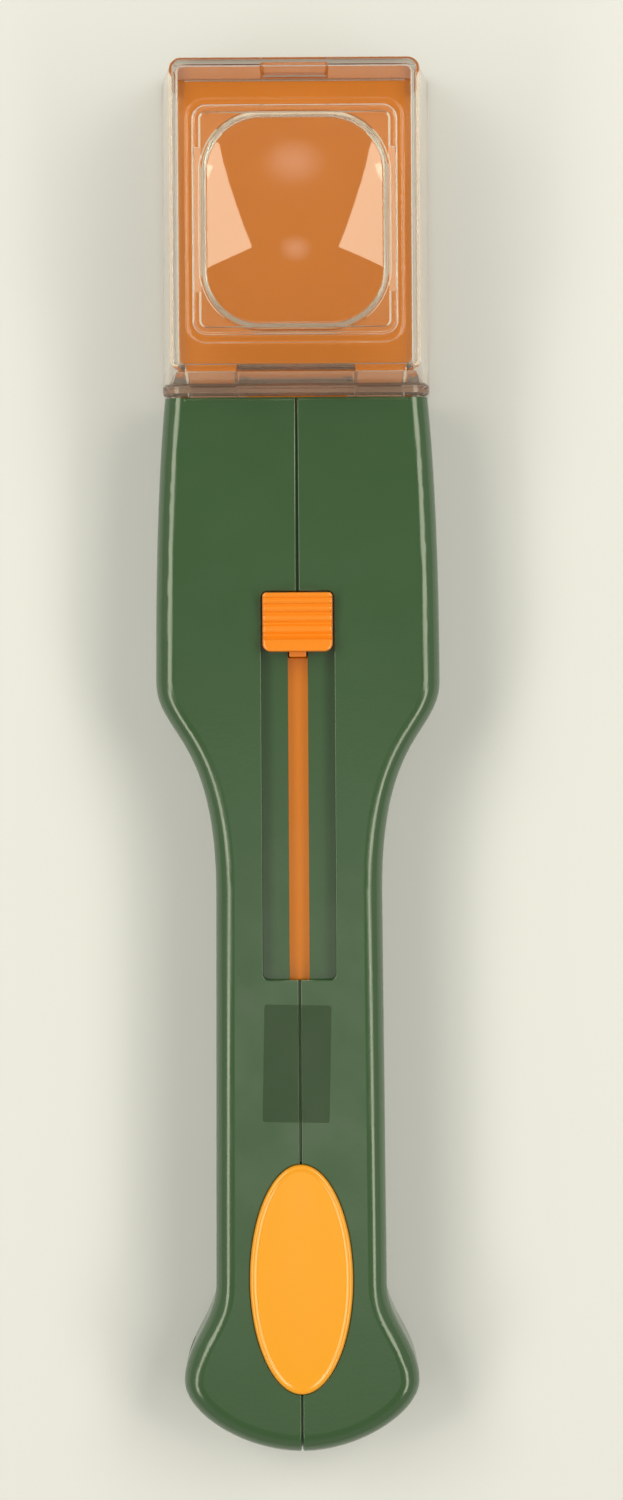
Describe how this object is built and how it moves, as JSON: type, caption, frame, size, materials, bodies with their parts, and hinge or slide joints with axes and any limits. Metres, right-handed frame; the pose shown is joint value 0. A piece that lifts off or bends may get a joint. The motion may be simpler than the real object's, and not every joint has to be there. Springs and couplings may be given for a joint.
{
  "type": "bug viewer",
  "caption": "Hand-held bug viewer: a clear catching chamber with a magnifier lens on a flat waisted handle, whose thumb button slides a trap door across the chamber's open side.",
  "frame": {"origin": "middle of the bounding box, at the level of the handle's back and the chamber's rim", "axes": "+X across the handle, +Y along it from the foot to the chamber, +Z out of the front face, towards the lens"},
  "size_m": [0.0582, 0.286, 0.0411],
  "materials": {
    "green_plastic": "satin moulded ABS, muted green",
    "clear_plastic": "clear moulded acrylic",
    "orange_plastic": "satin moulded ABS, orange",
    "amber_plastic": "satin moulded ABS, amber",
    "screw_steel": "zinc-plated steel"
  },
  "bodies": {
    "handle": {"left_shell": "green_plastic", "right_shell": "green_plastic", "viewing_chamber": "clear_plastic", "magnifier_lens": "clear_plastic", "lens_frame": "clear_plastic", "oval_inlay": "amber_plastic", "screw_1": "screw_steel", "screw_2": "screw_steel", "screw_3": "screw_steel", "screw_4": "screw_steel"},
    "slide": {"trap_door": "orange_plastic", "slide_bar": "orange_plastic", "thumb_button": "orange_plastic"}
  },
  "joints": [
    {"name": "door_slide", "type": "slide", "parent": "handle", "child": "slide", "axis": [0, -1, 0], "range_m": [0, 0.0655]}
  ]
}
